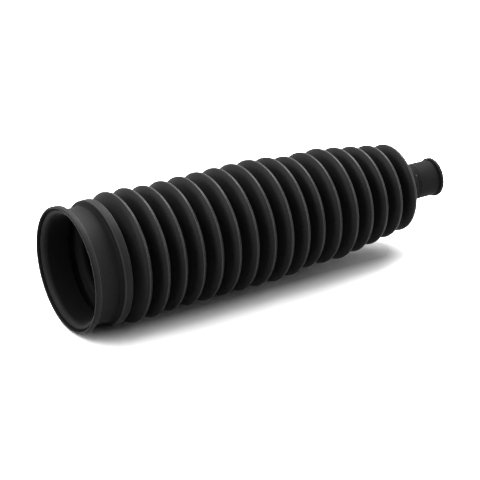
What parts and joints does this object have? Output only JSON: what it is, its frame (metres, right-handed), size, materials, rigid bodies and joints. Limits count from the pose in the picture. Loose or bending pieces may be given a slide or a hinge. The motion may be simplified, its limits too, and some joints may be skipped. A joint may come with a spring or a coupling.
{
  "type": "steering rack boot",
  "caption": "Black rubber bellows boot that seals the end of a steering rack to its tie rod, with a wide cuff, a row of folds that steps down in size and a narrow neck.",
  "frame": {"origin": "centre of the wide mouth, in the plane of its rim, which is the lowest plane of the part as it stands", "axes": "+Z along the boot's axis from the wide mouth to the small end; +X and +Y are free, because the boot is turned round Z"},
  "size_m": [0.0612, 0.0612, 0.2049],
  "materials": {
    "black_rubber": "matt, as moulded, with a low sheen"
  },
  "bodies": {
    "root": {"rack_boot": "black_rubber"}
  },
  "joints": []
}
